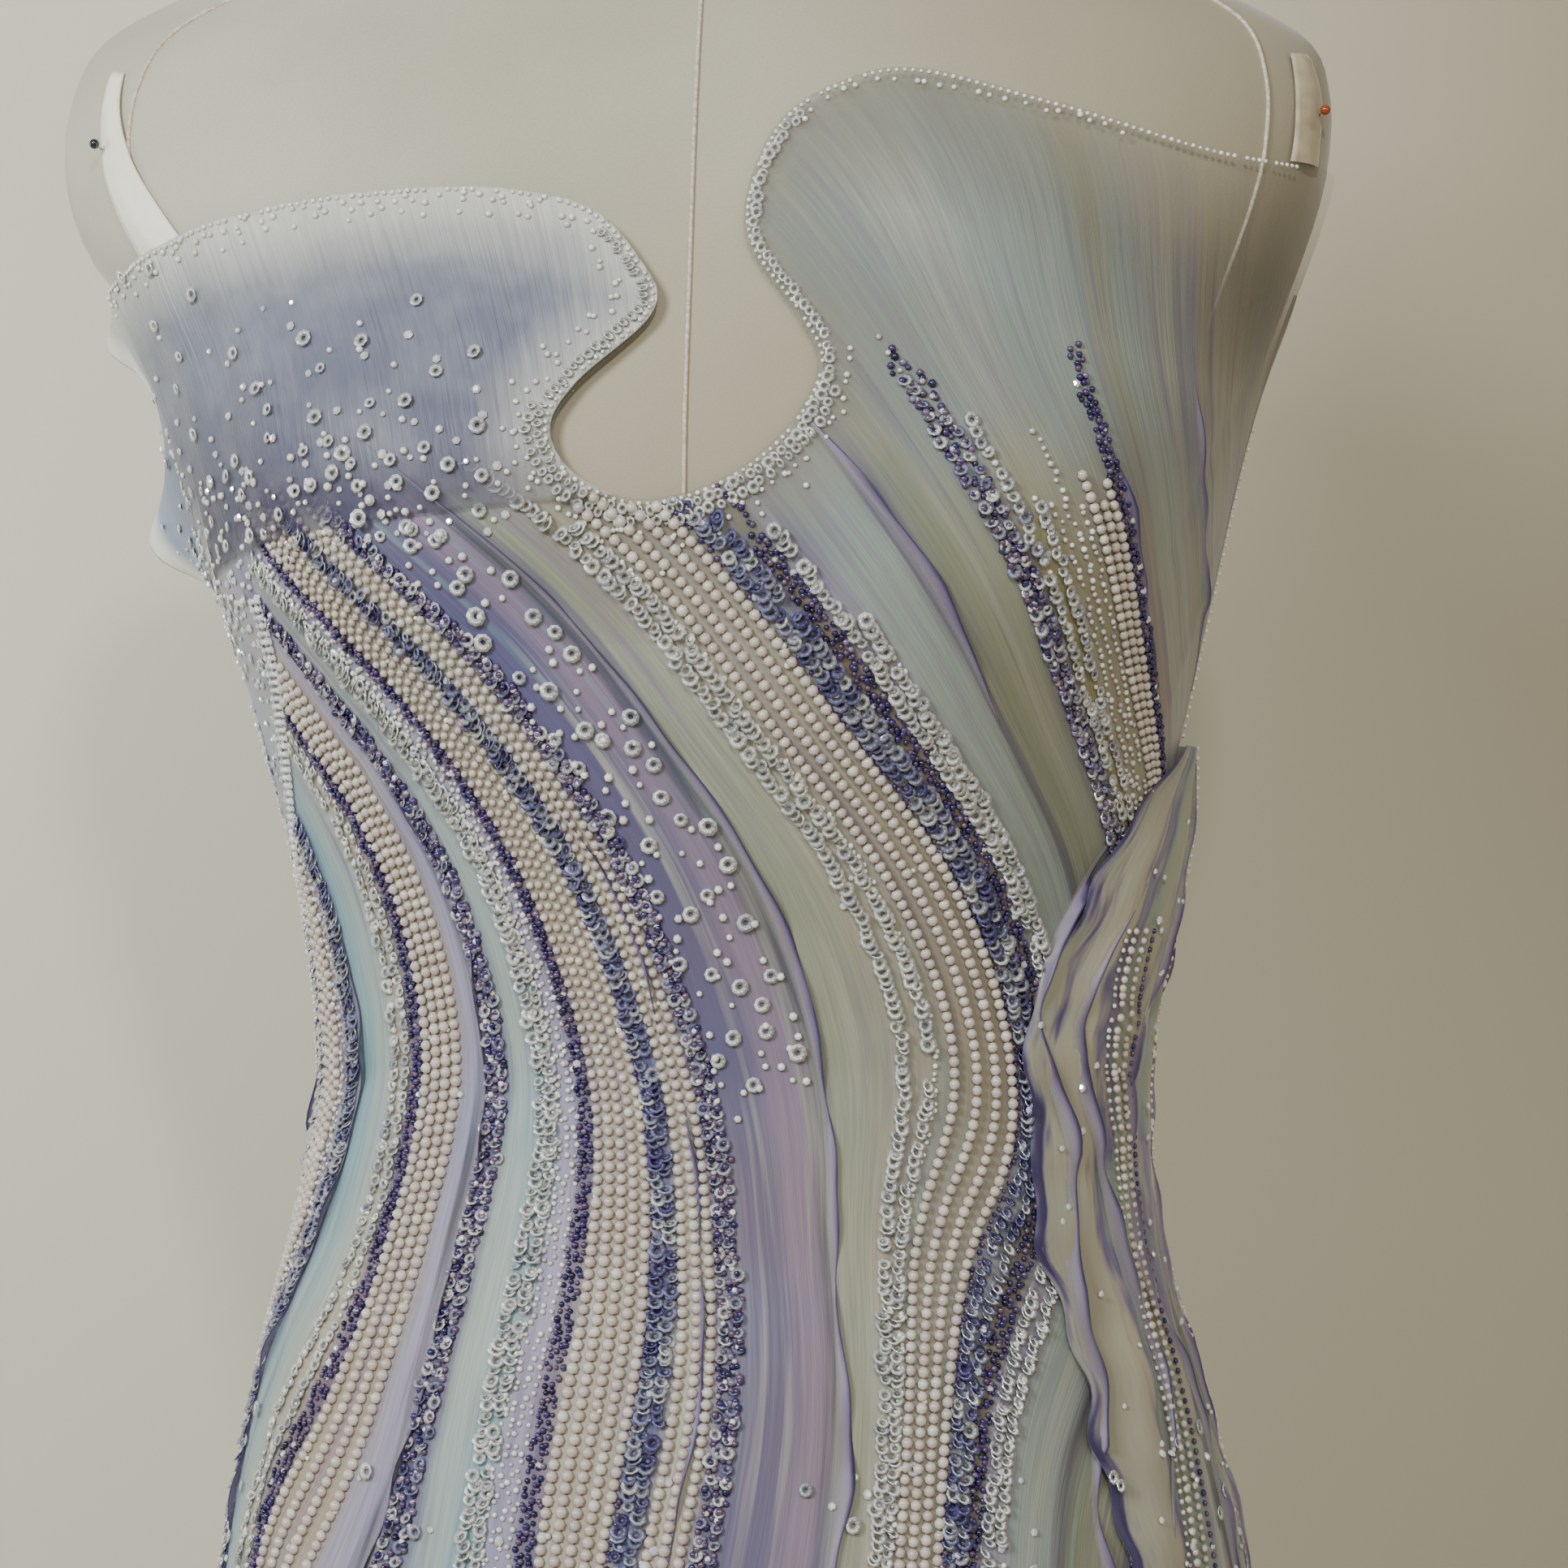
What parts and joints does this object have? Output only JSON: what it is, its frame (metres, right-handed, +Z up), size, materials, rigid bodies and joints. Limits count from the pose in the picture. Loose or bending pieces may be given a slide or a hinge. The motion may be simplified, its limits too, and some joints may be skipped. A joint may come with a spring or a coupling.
{
  "type": "wedding dress on a dress form",
  "caption": "Fitted floor-length gown with an asymmetric keyhole neckline, beaded and painted, on an armless dress form with a round stand.",
  "frame": {"origin": "on the floor, under the middle of the stand's round base", "axes": "+Z up, the gown's front faces -Y, its left lobe as seen from the front lies towards -X"},
  "size_m": [0.6611, 0.6311, 1.5243],
  "materials": {
    "gown_painted": "satin",
    "gown_sheer": "satin",
    "strap_cream": "satin",
    "form_cloth": "matte",
    "cap_wood": "satin",
    "pole_steel": "polished",
    "base_iron": "satin",
    "pearl_beads": "gloss",
    "clear_sequins": "gloss",
    "dark_beads": "gloss",
    "pin_heads": "gloss"
  },
  "bodies": {
    "root": {"front_panel": "gown_painted", "side_panel_left": "gown_painted", "side_panel_right": "gown_painted", "back_panel_left": "gown_painted", "back_panel_right": "gown_painted", "back_placket": "gown_painted", "lobe_overlay": "gown_sheer", "side_drape": "gown_sheer", "strap_left": "strap_cream", "strap_right": "strap_cream", "form_torso": "form_cloth", "form_neck_cap": "cap_wood", "form_pole": "pole_steel", "form_base": "base_iron"}
  },
  "joints": []
}
